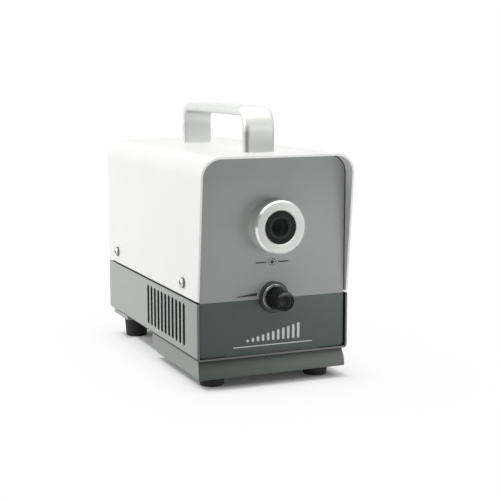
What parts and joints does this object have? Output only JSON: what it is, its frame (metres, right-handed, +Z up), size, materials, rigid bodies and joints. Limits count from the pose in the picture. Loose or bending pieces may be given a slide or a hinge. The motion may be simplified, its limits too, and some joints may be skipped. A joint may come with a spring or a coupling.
{
  "type": "fiber optic illuminator",
  "caption": "Bench-top cold light source in a sheet-metal cabinet, with a light-guide port, a brightness knob, a carrying handle, rubber feet and rear mains inlet and fan.",
  "frame": {"origin": "centre of the whole object's bounding box in plan, at the height of the bench it stands on", "axes": "front (light port and knob) towards -Y, +X to the right of someone who faces the front, +Z up"},
  "size_m": [0.1262, 0.2428, 0.2047],
  "materials": {
    "white_paint": "satin powder coat",
    "grey_paint": "satin powder coat",
    "panel_film": "matt printed film in two greys",
    "panel_sheet": "brushed",
    "zinc_steel": "zinc plated",
    "bright_nickel": "nickel plated",
    "satin_aluminium": "satin anodised",
    "turned_aluminium": "turned, polished edges",
    "dark_anodised": "satin anodised",
    "black_rubber": "matt",
    "black_plastic": "moulded",
    "gloss_black_plastic": "moulded, glossy",
    "board_green": "solder mask",
    "white_ceramic": "matt",
    "led_phosphor": "silicone dome over phosphor",
    "copper_winding": "enamelled copper",
    "dark_ferrite": "sintered, laminated",
    "capacitor_sleeve": "shrink sleeve",
    "brass": "turned",
    "clear_glass": "polished"
  },
  "bodies": {
    "cabinet": {"barrel_screws": "zinc_steel", "base_nuts": "zinc_steel", "board_screws": "zinc_steel", "board_standoffs": "brass", "bracket_screws": "zinc_steel", "bulk_capacitor": "capacitor_sleeve", "carry_handle": "satin_aluminium", "chassis_tray": "grey_paint", "condenser_lens": "clear_glass", "cover_screws": "bright_nickel", "driver_board": "board_green", "driver_inductor": "copper_winding", "engine_bracket": "zinc_steel", "fan_coil": "copper_winding", "fan_frame": "black_plastic", "fan_guard": "bright_nickel", "fan_screws": "bright_nickel", "foot_screws": "zinc_steel", "front_feet": "black_rubber", "front_overlay": "panel_film", "front_panel": "panel_sheet", "front_plinth": "grey_paint", "handle_screws": "zinc_steel", "handle_washers": "zinc_steel", "heat_sink": "satin_aluminium", "inlet_pins": "bright_nickel", "inlet_screws": "bright_nickel", "led_board": "white_ceramic", "led_emitter": "led_phosphor", "lens_barrel": "dark_anodised", "lens_retaining_ring": "dark_anodised", "light_port_socket": "black_plastic", "nose_ring": "turned_aluminium", "output_capacitors": "capacitor_sleeve", "panel_screws": "zinc_steel", "plinth_screws": "zinc_steel", "port_lock_nut": "turned_aluminium", "pot_body": "zinc_steel", "pot_nut": "zinc_steel", "power_inlet": "black_plastic", "psu_board": "board_green", "psu_cooling_plate": "satin_aluminium", "rear_feet": "black_rubber", "rear_foot_bar": "grey_paint", "rear_panel": "grey_paint", "switch_housing": "black_plastic", "switch_terminals": "brass", "top_cover": "white_paint", "transformer": "dark_ferrite", "transformer_coil": "copper_winding"},
    "knob": {"knob_skirt": "dark_anodised", "knob_ring": "turned_aluminium", "knob_body": "gloss_black_plastic", "knob_cap": "black_plastic", "knob_set_screw": "zinc_steel", "pot_shaft": "satin_aluminium"},
    "rocker": {"switch_rocker": "gloss_black_plastic"},
    "fan_rotor": {"fan_rotor": "black_plastic"},
    "fuse_drawer": {"fuse_drawer": "black_plastic", "fuses": "clear_glass"}
  },
  "joints": [
    {"name": "knob_turn", "type": "hinge", "parent": "cabinet", "child": "knob", "pos_m": [0, -0.11, 0.066], "axis": [0, 1, 0], "range_deg": [-150, 150]},
    {"name": "rocker_tilt", "type": "hinge", "parent": "cabinet", "child": "rocker", "pos_m": [0.032, 0.1149, 0.0455], "axis": [-1, 0, 0], "range_deg": [0, 20]},
    {"name": "fan_spin", "type": "hinge", "parent": "cabinet", "child": "fan_rotor", "pos_m": [0, 0.108, 0.1189], "axis": [0, 1, 0], "continuous": true},
    {"name": "fuse_drawer_slide", "type": "slide", "parent": "cabinet", "child": "fuse_drawer", "axis": [0, 1, 0], "range_m": [0, 0.02]}
  ]
}
